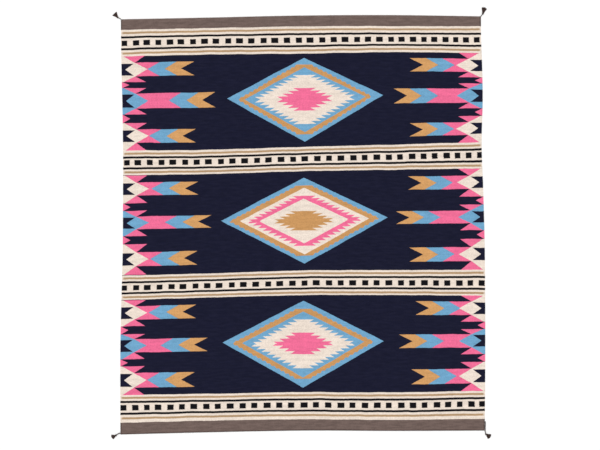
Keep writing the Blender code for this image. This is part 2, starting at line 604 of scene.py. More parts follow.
@dataclass(frozen=True)
class Field:
    """A dark field with its diamond and its feathers.

    Attributes:
        start: its far edge, in millimetres down from the cloth's far end.
        length: how long it is.
        middle: the diamond's middle, in millimetres across from the left selvedge.
        layers: the diamond's layers, from the outside in.
        feathers: the three pairs of feathers.
    """

    start: float
    length: float
    middle: float
    layers: tuple[Lozenge, ...]
    feathers: tuple[Feather, ...]


@dataclass(frozen=True)
class Weave:
    """Counts of the weft faced weave, and its relief.

    Attributes:
        ribs: warp ribs across the cloth.
        beads: weft beads along each rib.
        relief: depth of the ribs, in metres.
    """

    ribs: int = 512
    beads: int = 512
    relief: float = 0.0005


@dataclass(frozen=True)
class Drift:
    """A layer of noise over the woven cloth.

    Attributes:
        across, down: noise cells for each millimetre.
        size: how far the value goes either way.
        seed: shifts it to another part of the noise.
        detail: how many finer layers are added.
    """

    across: float
    down: float
    size: float
    seed: float
    detail: float = 1.0

    def over(self, tree: Tree, across: Term, down: Term) -> Term:
        """The layer's value at a woven place.

        Args:
            tree: the tree to add it to.
            across, down: the woven place, in millimetres.

        Returns:
            The value.
        """
        place = vector_of(tree, across * self.across, down * self.down)
        return noise_value(tree, place, 1.0, self.detail, self.seed) * self.size


# How hand work strays, in millimetres
SLOW_LIFT = Drift(0.0075, 0.003, 4.0, 1.0)
QUICK_LIFT = Drift(0.05, 0.012, 1.6, 5.0)
TURN_STRAY = Drift(0.004, 0.24, 4.5, 7.0)

# How the tone of handspun yarn varies: dye stripes, mottle, ribs and flecks
TONE_LAYERS = (
    Drift(0.0022, 0.045, 0.16, 4.0, 2.0),
    Drift(0.016, 0.07, 0.22, 6.0, 2.0),
    Drift(0.09, 0.004, 0.07, 9.0),
    Drift(0.11, 0.16, 0.22, 2.0, 3.0),
)
BEAD_TONE = 0.15

# Where the dark yarns change to another skein
SKEIN_STREAKS = Drift(0.014, 0.085, 1.0, 3.0, 3.0)
SKEIN_START = 0.02
SKEIN_EDGE = 0.3

# One bead of the weave: its own share of the relief, and the groove beside a rib
BEAD_RELIEF = 0.35
BEAD_SEED = 3.0
GROOVE_START = 0.55
GROOVE_EDGE = 0.4

# Half the width over which an edge fades, in millimetres
ROW_EDGE = 1.2
LINE_EDGE = 1.4
SLANT_EDGE = 1.6
TAN_EDGE = 1.8
NOTCH_EDGE = 2.0
SQUARE_EDGE = 2.2
YARN_EDGE = 3.0
DIAMOND_EDGE_SHARE = 0.015

# Sizes that every band, feather and field shares, in millimetres
SQUARE_HALF_WIDTH = 21
SQUARE_HALF_HEIGHT = 18
SQUARE_STRAY = 2.5
SQUARE_SPREAD = 2.0
DARK_LINE = 14.5
TAN_LINE = 13.5
TAN_INSET = 8.0
CHEVRON_DEPTH = 79.5
NOTCH_DEPTH = 88.0
DIAMOND_MIDDLE = 88.5
DIAMOND_OUT = 63.5
DIAMOND_IN = 83.5
TRIANGLE_OUT = 77.5
TRIANGLE_IN = 71.5
SELVEDGE_POINT = 50

# Where a corner starts on its bar, as a share of it, and how sharply a triangle starts
CORNER_START = 0.88
TRIANGLE_START = 40.0

# Reach of the right side's chevrons, as a share of the left side's
RIGHT_SHARE = 0.935

# How the waves that make the squares uneven step from square to square
STRAY_STEP = 2.3
SPREAD_STEP = 4.1

SHORT = Chevrons(185, 301, 408)
LONG = Chevrons(286, 403, 506)


class WovenGroups:
    """The node groups that the woven pattern is made of, each built once."""

    def __init__(self) -> None:
        """Build every group."""
        self.weave = self.make_weave()
        self.band = self.make_band()
        self.lozenge = self.make_lozenge()
        self.feather = self.make_feather()
        self.yarn = self.make_yarn_tone()

    @staticmethod
    def make_weave() -> Group:
        """Weft beads over warp ribs, from places counted in ribs and in beads.

        Returns:
            The group, with its relief, its tone and the grooves beside the ribs.
        """
        group = Group("weft faced weave")
        ribs, beads = group.take("Ribs", "Beads")
        rib = ribs.whole()
        row = beads + (rib * 0.5).part()
        sideways = ribs.part() * 2.0 - 1.0
        lengthways = row.part() * 2.0 - 1.0
        crown = 1 - sideways * sideways
        group.give("Relief", crown - lengthways * lengthways * BEAD_RELIEF)
        group.give("Tone", chance(group.tree, rib, row.whole(), BEAD_SEED) - 0.5)
        group.give("Groove", (abs(sideways) - GROOVE_START).inside(GROOVE_EDGE))
        return group

    @staticmethod
    def make_band() -> Group:
        """Lines and squares of a patterned band.

        Returns:
            The group, with a mask for each yarn.
        """
        group = Group("patterned band")
        across, down, tan_far, tan_near, dark_far, dark_near = group.take(
            "Across", "Down", "Tan far", "Tan near", "Dark far", "Dark near")
        squares, count, first, last, bow, sway = group.take(
            "Squares", "Count", "First", "Last", "Bow", "Sway")
        width = WIDTH / MM
        to_tan = abs(down - tan_far).least(abs(down - tan_near))
        to_dark = abs(down - dark_far).least(abs(down - dark_near))
        pitch = (width - first - last) / (count - 1.0)
        share = across / width
        drift = share * (1.0 - share) * (bow + (share * 2.0 - 1.0) * sway)
        place = (across - first - drift) / pitch + 0.5
        number = place.whole()
        uneven = (number * STRAY_STEP + squares).wave() * SQUARE_STRAY
        wider = (number * SPREAD_STEP + squares * 2.0).wave() * SQUARE_SPREAD
        from_middle = abs((place.part() - 0.5) * pitch + uneven)
        beside = (SQUARE_HALF_WIDTH - from_middle) + wider
        along = SQUARE_HALF_HEIGHT - abs(down - squares)
        square = beside.inside(SQUARE_EDGE) * along.inside(LINE_EDGE)
        line = (DARK_LINE / 2 - to_dark).inside(LINE_EDGE)
        inset = (across.least(width - across) - TAN_INSET).inside(TAN_INSET)
        group.give("Dark", square.most(line))
        group.give("Tan", (TAN_LINE / 2 - to_tan).inside(TAN_EDGE) * inset)
        return group

    @staticmethod
    def make_lozenge() -> Group:
        """One diamond with teeth or straight sides.

        Returns:
            The group, with the diamond's mask.
        """
        group = Group("toothed diamond")
        aside, down, far, near, reach, blunt = group.take(
            "Aside", "Down", "Far", "Near", "Reach", "Blunt")
        tip, teeth, near_teeth, tooth = group.take("Tip", "Teeth", "Near teeth", "Tooth")
        is_near = down.above(0.0)
        height = choose(far, near, is_near)
        left = 1 - abs(down) / height
        saw = (left * choose(teeth, near_teeth, is_near)).part() * tooth
        side = (tip + (reach - tip) * left - saw).least(reach - blunt)
        upright = left * height
        group.give("Mask", (side - abs(aside)).inside(SLANT_EDGE) * upright.inside(ROW_EDGE))
        return group

    @staticmethod
    def make_feather() -> Group:
        """One notched bar and its triangles.

        Returns:
            The group, with a mask for each part.
        """
        group = Group("feather")
        reach_in, down, half, far_base, near_base = group.take(
            "Reach in", "Down", "Half", "Far base", "Near base")
        blue, gold, notch = group.take("Blue", "Gold", "Notch")
        away = abs(down)
        chevron = reach_in - away / half * CHEVRON_DEPTH
        bar = (half - away).inside(ROW_EDGE)
        sideways = reach_in - DIAMOND_MIDDLE
        wing = choose(DIAMOND_OUT, DIAMOND_IN, sideways.above(0.0))
        diamond = (1 - abs(sideways) / wing - away / half).inside(DIAMOND_EDGE_SHARE)
        base = choose(far_base, near_base, down.above(0.0))
        climb = (away - half) / (base - half)
        outside = (base - away).inside(ROW_EDGE)
        to_left = reach_in - (DIAMOND_MIDDLE - climb * TRIANGLE_OUT)
        to_right = (DIAMOND_MIDDLE + climb * TRIANGLE_IN) - reach_in
        risen = (climb * TRIANGLE_START).inside(1.0)
        triangle = to_left.least(to_right).inside(SLANT_EDGE) * risen
        corner_rise = (away - half * CORNER_START).inside(ROW_EDGE)
        corner = (to_left * -1.0).inside(SLANT_EDGE) * corner_rise
        body = bar * sideways.inside(SLANT_EDGE)
        past_blue, past_gold = chevron - blue, chevron - gold
        ending = notch - reach_in + away / half * NOTCH_DEPTH
        group.give("Pink", body * (blue - chevron).inside(YARN_EDGE))
        group.give("Blue", body * past_blue.inside(YARN_EDGE) * (gold - chevron).inside(YARN_EDGE))
        group.give("Gold", body * past_gold.inside(YARN_EDGE) * ending.inside(NOTCH_EDGE))
        group.give("Diamond", diamond)
        group.give("Triangle", triangle * outside)
        group.give("Corner", corner * outside)
        return group

    @staticmethod
    def make_yarn_tone() -> Group:
        """Uneven dye and fibre of handspun wool.

        Returns:
            The group, with a factor for the yarn's colour.
        """
        group = Group("handspun tone")
        across, down, tone, amount = group.take("Across", "Down", "Tone", "Amount")
        mixed = tone * BEAD_TONE
        for layer in TONE_LAYERS:
            mixed = mixed + layer.over(group.tree, across, down)
        group.give("Factor", 1.0 + mixed * amount)
        return group


BANDS = (
    Band(71.5, 178, 21, 50.5, 90.5, 130, 158.5, 32,
         first=24, last=35, bow=109.5, sway=172),
    Band(867, 161, 20.5, 46, 80.5, 118.5, 144.5, 31,
         first=24, last=13.5, bow=46.5, sway=118),
    Band(1684, 165.5, 19.5, 46, 84.5, 121.5, 149, 31,
         first=17, last=22.5, bow=37, sway=99),
    Band(2492, 180, 18.5, 45.5, 83, 121, 150.5, 31,
         first=22.5, last=16.5, bow=16.5, sway=133),
)

FIELDS = (
    Field(251, 618, 1210.5, (
        Lozenge(Wool.BLUE, 286.5, 258, 295.5, 517, lean=2),
        Lozenge(Wool.OCHRE, 294, 222, 239, 454, blunt=4,
                tip=52, teeth=12.98, near_teeth=12.83, tooth=18),
        Lozenge(Wool.BLUE, 294, 204.5, 225, 401.5, lean=1.5),
        Lozenge(Wool.CREAM, 296, 155, 168.5, 362, blunt=9,
                tip=77.5, teeth=8.99, near_teeth=8.99, tooth=68),
        Lozenge(Wool.PINK, 299, 73, 77, 220, lean=-1.5,
                tip=76.5, teeth=3.99, near_teeth=3.99, tooth=75),
    ), (
        Feather(87, 84.5, 44.5, 90.5, 81.5, Wool.CREAM, SHORT, -14, 9),
        Feather(293, 293.5, 49, 84.5, 87.5, Wool.BLUE, LONG, 23, 28),
        Feather(522, 520, 43.5, 85, 98, Wool.CREAM, SHORT, -10.5, 10.5),
    )),
    Field(1030, 654, 1199.5, (
        Lozenge(Wool.BLUE, 310, 266, 298, 551, lean=1.5),
        Lozenge(Wool.OCHRE, 315, 220, 241, 504, lean=0.5, blunt=9,
                tip=56, teeth=13.98, near_teeth=13.5, tooth=18),
        Lozenge(Wool.CREAM, 316, 206.5, 232, 428, lean=2),
        Lozenge(Wool.PINK, 320.5, 158, 170.5, 396, lean=2,
                tip=75, teeth=9.85, near_teeth=9.6, tooth=59.5),
        Lozenge(Wool.CREAM, 321, 140, 154, 297, lean=-1.5, blunt=8),
        Lozenge(Wool.OCHRE, 326, 63.5, 63.5, 224, lean=-2.5,
                tip=92, teeth=3.85, near_teeth=3.79, tooth=70),
    ), (
        Feather(91, 88.5, 42.5, 88, 92, Wool.CREAM, SHORT, 3, 27),
        Feather(311, 311.5, 41, 79, 85.5, Wool.BLUE, LONG, -9, 20.5),
        Feather(548, 552.5, 45.5, 98, 102, Wool.CREAM, SHORT, -2.5, 27),
    )),
    Field(1850, 640, 1198, (
        Lozenge(Wool.BLUE, 303.5, 266.5, 307, 527.5, lean=-1),
        Lozenge(Wool.OCHRE, 309.5, 219, 242.5, 472.5, lean=-1.5,
                tip=52, teeth=12.98, near_teeth=13.81, tooth=17),
        Lozenge(Wool.BLUE, 309, 201, 235.5, 400, lean=-1),
        Lozenge(Wool.CREAM, 320, 159, 162.5, 362, lean=-1,
                tip=69, teeth=8.98, near_teeth=8.68, tooth=62.5),
        Lozenge(Wool.PINK, 319, 70.5, 71, 221, lean=-2.5,
                tip=81, teeth=3.78, near_teeth=3.6, tooth=67.5),
    ), (
        Feather(90.5, 85.5, 45, 86, 89, Wool.CREAM, SHORT, -4.5, -13),
        Feather(312, 303.5, 44.5, 78, 89.5, Wool.BLUE, LONG, -24, 3),
        Feather(543, 540, 49, 93.5, 100, Wool.CREAM, SHORT, -9.5, 13),
    )),
)

# First and last rows of the plain end stripes, which run on past the cloth's own ends
END_STRIPES = ((-20.0, 71.0), (2670.0, 2763.0))

# Width of the painted shade along their outer edges, in millimetres, and how much the other skein
# shows in them
EDGE_SHADE_WIDTH = 7.0
SKEIN_DEPTH = 0.65


@dataclass
class PatternWork:
    """The rug's pattern, as it is laid into a material yarn by yarn.

    Attributes:
        groups: the pattern's node groups.
        painting: the yarns laid so far.
        across, down: the woven place, in millimetres.
        skeins: how much the dark yarns are of another skein there.
    """

    groups: WovenGroups
    painting: Painting
    across: Term
    down: Term
    skeins: Term

    def lay_all(self) -> None:
        """Lay in the bands, the fields with their figures, and the end stripes."""
        for band in BANDS:
            self.lay_band(band)
        for plain in FIELDS:
            ground = self.between(plain.start, plain.start + plain.length)
            self.painting.lay(Wool.NAVY, ground)
            self.painting.lay(Wool.WORN_NAVY, ground * self.skeins)
        for patterned in FIELDS:
            self.lay_feathers(patterned)
            self.lay_diamond(patterned)
        for band in BANDS:
            self.cover_band_edges(band)
        self.lay_end_stripes()

    def between(self, start: float, end: float) -> Term:
        """Mask of the rows between two distances from the far end."""
        return (self.down - start).least(end - self.down).inside(LINE_EDGE)

    def lay_band(self, band: Band) -> None:
        """Lay in a band's lines and squares.

        Args:
            band: the band.
        """
        masks = self.groups.band.place(
            self.painting.tree, band, across=self.across, down=self.down - band.start)
        self.painting.lay(Wool.TAN, masks["Tan"])
        self.painting.lay(Wool.BLACK, masks["Dark"])

    def cover_band_edges(self, band: Band) -> None:
        """Bring the cream of a band's two edges over the fields' figures.

        Args:
            band: the band.
        """
        outer = self.between(band.start, band.start + band.length)
        inner = self.between(
            band.start + band.tan_far - TAN_LINE, band.start + band.tan_near + TAN_LINE)
        self.painting.lay(Wool.CREAM, outer * (1 - inner))

    def lay_diamond(self, patterned: Field) -> None:
        """Lay in a field's nested diamond, from the outside in.

        Args:
            patterned: the field.
        """
        for layer in patterned.layers:
            masks = self.groups.lozenge.place(
                self.painting.tree, layer,
                aside=self.across - (patterned.middle + layer.lean),
                down=self.down - (patterned.start + layer.wide_row))
            self.painting.lay(layer.paint, masks["Mask"])

    def lay_feathers(self, patterned: Field) -> None:
        """Lay in a field's feathers on both sides, and the points between them.

        Args:
            patterned: the field.
        """
        width = WIDTH / MM
        on_right = self.across.above(width / 2)
        edge_distance = self.across.least(width - self.across)
        share = choose(1.0, RIGHT_SHARE, on_right)
        centres = []
        for feather in patterned.feathers:
            centre = choose(
                patterned.start + feather.left, patterned.start + feather.right, on_right)
            longer = choose(feather.left_longer, feather.right_longer, on_right)
            masks = self.groups.feather.place(
                self.painting.tree, feather, reach_in=edge_distance, down=self.down - centre,
                blue=share * feather.chevrons.blue + longer,
                gold=share * feather.chevrons.gold + longer,
                notch=share * feather.chevrons.notch + longer)
            self.painting.lay(Wool.PINK, masks["Pink"].most(masks["Triangle"]))
            self.painting.lay(Wool.BLUE, masks["Blue"])
            self.painting.lay(Wool.GOLD, masks["Gold"])
            self.painting.lay(feather.tip, masks["Diamond"].most(masks["Corner"]))
            centres.append((feather, centre))
        for (above, high), (below, low) in zip(centres, centres[1:]):
            top, bottom = high + above.near_base, low - below.far_base
            half = (bottom - top) * 0.5
            climb = 1 - edge_distance / SELVEDGE_POINT
            reach = half * climb - abs(self.down - (top + bottom) * 0.5)
            self.painting.lay(Wool.PINK, reach.inside(ROW_EDGE))

    def lay_end_stripes(self) -> None:
        """Lay in the plain brown end stripes, with painted shade darkening them along the selvedges
        and the near end.
        """
        rim = self.across.least(WIDTH / MM - self.across).least(LENGTH / MM - self.down)
        for start, end in END_STRIPES:
            stripe = self.between(start, end)
            self.painting.lay(Wool.BROWN, stripe)
            self.painting.lay(Wool.DARK_BROWN, stripe * self.skeins * SKEIN_DEPTH)
            # Painted shade: a thin dark brown line along the selvedges and the near end
            self.painting.lay(Wool.DARK_BROWN, (EDGE_SHADE_WIDTH - rim).inside(YARN_EDGE) * stripe)


@dataclass(frozen=True)
class WovenWool:
    """The rug's wool, woven in its pattern.

    Attributes:
        weave: counts and relief of the weave.
        roughness: roughness of the matt wool on the ribs.
        groove_roughness, groove_shade: how much rougher the grooves are, and how much painted shade
            darkens them.
        specular: level of its plain reflection.
        sheen, sheen_roughness: weight and roughness of the fibre's soft sheen.
        bump: strength of the relief.
        unevenness: how much the handspun yarn's tone varies.
        abrash: how much the dye of the dark yarns changes from skein to skein.
    """

    weave: Weave = field(default_factory=Weave)
    roughness: float = 0.94
    groove_roughness: float = 0.04
    groove_shade: float = 0.12
    specular: float = 0.12
    sheen: float = 0.04
    sheen_roughness: float = 0.6
    bump: float = 0.6
    unevenness: float = 0.9
    abrash: float = 0.7

    def material(self, groups: WovenGroups) -> bpy.types.Material:
        """Make the material.

        Args:
            groups: the pattern's node groups.

        Returns:
            The finished material.
        """
        material = bpy.data.materials.new("woven wool")
        material.use_nodes = True
        tree = material.node_tree
        shader = tree.nodes["Principled BSDF"]
        across, down = self.woven_place(tree)
        weave = groups.weave.place(
            tree,
            ribs=across * (self.weave.ribs * MM / WIDTH),
            beads=down * (self.weave.beads * MM / LENGTH))
        tone = groups.yarn.place(
            tree, across=across, down=down, tone=weave["Tone"], amount=self.unevenness)
        painting = self.woven_pattern(tree, groups, across, down)
        # The yarn's uneven tone, times painted shade that darkens the grooves beside the ribs
        painting.shade(tone["Factor"] * (1.0 - weave["Groove"] * self.groove_shade))
        tree.links.new(painting.colour, shader.inputs["Base Color"])
        rough = weave["Groove"] * self.groove_roughness + self.roughness
        tree.links.new(rough.socket, shader.inputs["Roughness"])
        shader.inputs["Specular IOR Level"].default_value = self.specular
        shader.inputs["Sheen Weight"].default_value = self.sheen
        shader.inputs["Sheen Roughness"].default_value = self.sheen_roughness
        raise_relief(shader, weave["Relief"], self.bump, self.weave.relief)
        return material

    @staticmethod
    def woven_place(tree: Tree) -> tuple[Term, Term]:
        """The woven place, read from the cloth's cover map.

        Args:
            tree: the material's tree.

        Returns:
            Millimetres across from the left selvedge, and down from the far end.
        """
        cover = tree.nodes.new("ShaderNodeUVMap")
        cover.uv_map = COVER_MAP
        split = tree.nodes.new("ShaderNodeSeparateXYZ")
        tree.links.new(cover.outputs["UV"], split.inputs[0])
        across = ((Term(tree, split.outputs["X"]) - 0.5) / MAP_SHARE + 0.5) * (WIDTH / MM)
        down = (0.5 - (Term(tree, split.outputs["Y"]) - 0.5) / MAP_SHARE) * (LENGTH / MM)
        return across, down

    def woven_pattern(
        self, tree: Tree, groups: WovenGroups, across: Term, down: Term
    ) -> Painting:
        """The whole pattern, shifted a little as hand work strays.

        Args:
            tree: the material's tree.
            groups: the pattern's node groups.
            across, down: the woven place, in millimetres.

        Returns:
            The painted colours.
        """
        lift = SLOW_LIFT.over(tree, across, down)
        jitter = QUICK_LIFT.over(tree, across, down)
        drawn_across = across + TURN_STRAY.over(tree, across, down)
        drawn_down = down + lift + jitter
        streaks = SKEIN_STREAKS.over(tree, drawn_across, drawn_down)
        skeins = (streaks - SKEIN_START).inside(SKEIN_EDGE) * self.abrash
        painting = Painting(tree, Wool.CREAM)
        PatternWork(groups, painting, drawn_across, drawn_down, skeins).lay_all()
        return painting


def raise_relief(
    shader: bpy.types.ShaderNode, height: Term, strength: float, distance: float
) -> None:
    """Give a shader a bump.

    Args:
        shader: the shader.
        height: the bump's height over the surface.
        strength: the bump's strength.
        distance: its full depth, in metres.
    """
    bump = height.tree.nodes.new("ShaderNodeBump")
    bump.inputs["Strength"].default_value = strength
    bump.inputs["Distance"].default_value = distance
    height.tree.links.new(height.socket, bump.inputs["Height"])
    height.tree.links.new(bump.outputs["Normal"], shader.inputs["Normal"])


@dataclass(frozen=True)
class TasselYarn:
    """Dark brown wool yarn of the tassels.

    Attributes:
        colour: sRGB colour of the yarn.
        roughness, fibre_roughness: its mean roughness, and how much the fibres vary it.
        specular: level of its plain reflection.
        sheen: weight of its soft sheen.
        fibres: fibres for each metre.
        fibre_depth: how deep the fibres' relief is, in metres.
        bump: strength of that relief.
        unevenness: how much its tone varies.
        enlarged: how many times finer its tone varies than the cloth's.
    """

    colour: tuple[int, int, int] = (66, 50, 46)
    roughness: float = 0.9
    fibre_roughness: float = 0.05
    specular: float = 0.15
    sheen: float = 0.05
    fibres: float = 1.2 / MM
    fibre_depth: float = 0.0002
    bump: float = 0.5
    unevenness: float = 1.4
    enlarged: float = 8.0

    def material(self, groups: WovenGroups) -> bpy.types.Material:
        """Make the material.

        Args:
            groups: the shared node groups.

        Returns:
            The finished material.
        """
        material = bpy.data.materials.new("tassel yarn")
        material.use_nodes = True
        tree = material.node_tree
        shader = tree.nodes["Principled BSDF"]
        place = tree.nodes.new("ShaderNodeTexCoord")
        spot = Term(tree, place.outputs["Object"])
        split = tree.nodes.new("ShaderNodeSeparateXYZ")
        tree.links.new(spot.socket, split.inputs[0])
        across = Term(tree, split.outputs["X"]) * (self.enlarged / MM)
        down = Term(tree, split.outputs["Y"]) * (self.enlarged / MM)
        fibre = noise_value(tree, spot, self.fibres, 3.0, 6.0)
        tone = groups.yarn.place(
            tree, across=across, down=down, tone=fibre, amount=self.unevenness)
        base = tree.nodes.new("ShaderNodeVectorMath")
        base.operation = "SCALE"
        base.inputs[0].default_value = linear(*self.colour)[:3]
        tree.links.new(tone["Factor"].socket, base.inputs["Scale"])
        tree.links.new(base.outputs[0], shader.inputs["Base Color"])
        rough = fibre * self.fibre_roughness + self.roughness
        tree.links.new(rough.socket, shader.inputs["Roughness"])
        shader.inputs["Specular IOR Level"].default_value = self.specular
        shader.inputs["Sheen Weight"].default_value = self.sheen
        raise_relief(shader, fibre, self.bump, self.fibre_depth)
        return material


def finish_piece(item: bpy.types.Object, nodes: Sequence[str]) -> None:
    """Make a piece ride on the frame and stand for its nodes.

    Args:
        item: the finished piece.
        nodes: the nodes that it replaces.
    """
    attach(item, BODY)
    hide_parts(*nodes)


@dataclass
class RugCloth:
    """The woven cloth, one sheet from end to end.

    Attributes:
        lay: where the cloth lies.
        columns, rows: cells of the sheet's grid.
        swell: how far the cloth lifts off the floor in its slack places.
        slack_across, slack_along, slack_seed: the slack's cells for each metre, and its seed.
        rim_rise: how steeply the lift grows from the rim inwards.
        edge_round, edge_steps, edge_angle: radius, steps and least angle of the rim's rounding.
        rim_slope: how far a face leans from level before it counts as rim.
        shift: the move from the cloth's own place to the frame, known once it is built.
    """

    lay: Lay = field(default_factory=Lay)
    columns: int = 150
    rows: int = 172
    swell: float = 0.0012
    slack_across: float = 2.1
    slack_along: float = 4.3
    slack_seed: float = 5.0
    rim_rise: float = 6.0
    edge_round: float = 0.0012
    edge_steps: int = 3
    edge_angle: float = 50.0
    rim_slope: float = 0.1
    shift: Vector = field(default_factory=Vector)

    def build(self, material: bpy.types.Material) -> bpy.types.Object:
        """Model the cloth and fit it to its node.

        Args:
            material: the woven wool.

        Returns:
            The finished sheet.
        """
        deselect_all()
        bpy.ops.mesh.primitive_grid_add(
            x_subdivisions=self.columns, y_subdivisions=self.rows, size=2.0)
        cloth = bpy.context.object
        cloth.name = "woven_cloth"
        mesh = cloth.data
        mesh.uv_layers[0].name = COVER_MAP
        for vert in mesh.vertices:
            across, along = vert.co.x, (1 - vert.co.y) / 2
            spot = self.lay.point(across, along)
            spot.z = THICKNESS + self.lift(spot, across, along)
            vert.co = spot
        self.shift = self.frame_shift(mesh)
        for vert in mesh.vertices:
            vert.co += self.shift
        mesh.materials.append(material)
        self.thicken(cloth)
        self.map_rim(mesh)
        finish_piece(cloth, (CLOTH_NODE,))
        return cloth

    def lift(self, spot: Vector, across: float, along: float) -> float:
        """How far slack cloth stands off the floor, with its rim flat on it.

        Args:
            spot: where the cloth lies there.
            across: from -1 at the left selvedge to 1 at the right one.
            along: from 0 at the far end to 1 at the near end.

        Returns:
            The lift, in metres.
        """
        inwards = min(1 - abs(across), 2 * min(along, 1 - along))
        slack = noise.noise(
            Vector((spot.x * self.slack_across, spot.y * self.slack_along, self.slack_seed)))
        return self.swell * max(0.0, slack) * ease(inwards * self.rim_rise)

    def frame_shift(self, mesh: bpy.types.Mesh) -> Vector:
        """The move that puts the sheet's box on its node's box.

        Args:
            mesh: the sheet where it lies.

        Returns:
            The move, level with the floor.
        """
        low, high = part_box(CLOTH_NODE)
        xs = [vert.co.x for vert in mesh.vertices]
        ys = [vert.co.y for vert in mesh.vertices]
        middle = Vector(((min(xs) + max(xs)) / 2, (min(ys) + max(ys)) / 2, 0.0))
        return Vector(((low.x + high.x) / 2, (low.y + high.y) / 2, 0.0)) - middle

    def thicken(self, cloth: bpy.types.Object) -> None:
        """Give the sheet its thickness and a rounded rim.

        Args:
            cloth: the sheet.
        """
        solid = cloth.modifiers.new("thickness", "SOLIDIFY")
        solid.thickness = THICKNESS
        solid.offset = -1.0
        rim = cloth.modifiers.new("rim", "BEVEL")
        rim.width = self.edge_round
        rim.segments = self.edge_steps
        rim.limit_method = "ANGLE"
        rim.angle_limit = math.radians(self.edge_angle)
        for name in ("thickness", "rim"):
            bpy.ops.object.modifier_apply(modifier=name)
        bpy.ops.object.shade_smooth()

    def map_rim(self, mesh: bpy.types.Mesh) -> None:
        """Give the rim a strip of the cover map of its own, just outside the face's.

        Args:
            mesh: the thickened sheet.
        """
        cover = mesh.uv_layers[COVER_MAP].data
        for face in mesh.polygons:
            outward = Vector((face.normal.x / WIDTH, face.normal.y / LENGTH))
            steep = face.normal.xy.length > self.rim_slope
            for loop in face.loop_indices:
                depth = THICKNESS - mesh.vertices[mesh.loops[loop].vertex_index].co.z
                middle = Vector((0.5, 0.5))
                place = cover[loop].uv - middle + outward * (depth if steep else 0.0)
                cover[loop].uv = middle + place * MAP_SHARE


@dataclass(frozen=True)
class HeadSection:
    """A section of a tassel's head, in millimetres.

    Attributes:
        past: how far past the neck it is.
        half_width, half_height: half its size across and upwards.
    """

    past: float
    half_width: float
    half_height: float


HEAD_SECTIONS = (
    HeadSection(0.0, 3.0, 3.0),
    HeadSection(2.5, 5.0, 4.1),
    HeadSection(5.5, 6.2, 4.7),
    HeadSection(8.5, 5.4, 4.1),
    HeadSection(11.0, 6.0, 4.2),
)

# The neck's two plies: steps along it, and a ply's radius and winding as shares of the neck's
NECK_STEP = 1.2
LEAST_NECK_STEPS = 10
PLY_SHARE = 0.56
WINDING_SHARE = 0.44

# The binding yarn, in millimetres; it starts at a share of the way into the head's dip
BINDING_RADIUS = 0.55
BINDING_TURNS = 4
BINDING_STEPS = 14
BINDING_START = 0.35

# The loose strands of the skirt, in millimetres and shares of a strand's length
STRAND_STEPS = 7
FAN_UNEVENNESS = 0.1
CUT_UNEVENNESS = 0.06
ROUNDED_CUT = 0.14
LAYERS = 4
LAYER_HEIGHT = 1.05
SETTLED_AFTER = 16
TIP_DROOP = 0.1
SWAY = 0.9
BENDS = 3

# How the values that set the strands apart step from strand to strand
GOLDEN_ANGLE = math.pi * (3 - math.sqrt(5))
FAN_STEP = 5.1
CUT_STEP = 2.7
SWAY_STEP = 1.9
LAYER_STEP = 7


def level_side(run: Vector) -> Vector:
    """The level direction to the right of a run."""
    return Vector((run.y, -run.x, 0.0))


def level_run(degrees: float) -> Vector:
    """The level direction at an angle from +X."""
    angle = math.radians(degrees)
    return Vector((math.cos(angle), math.sin(angle), 0.0))


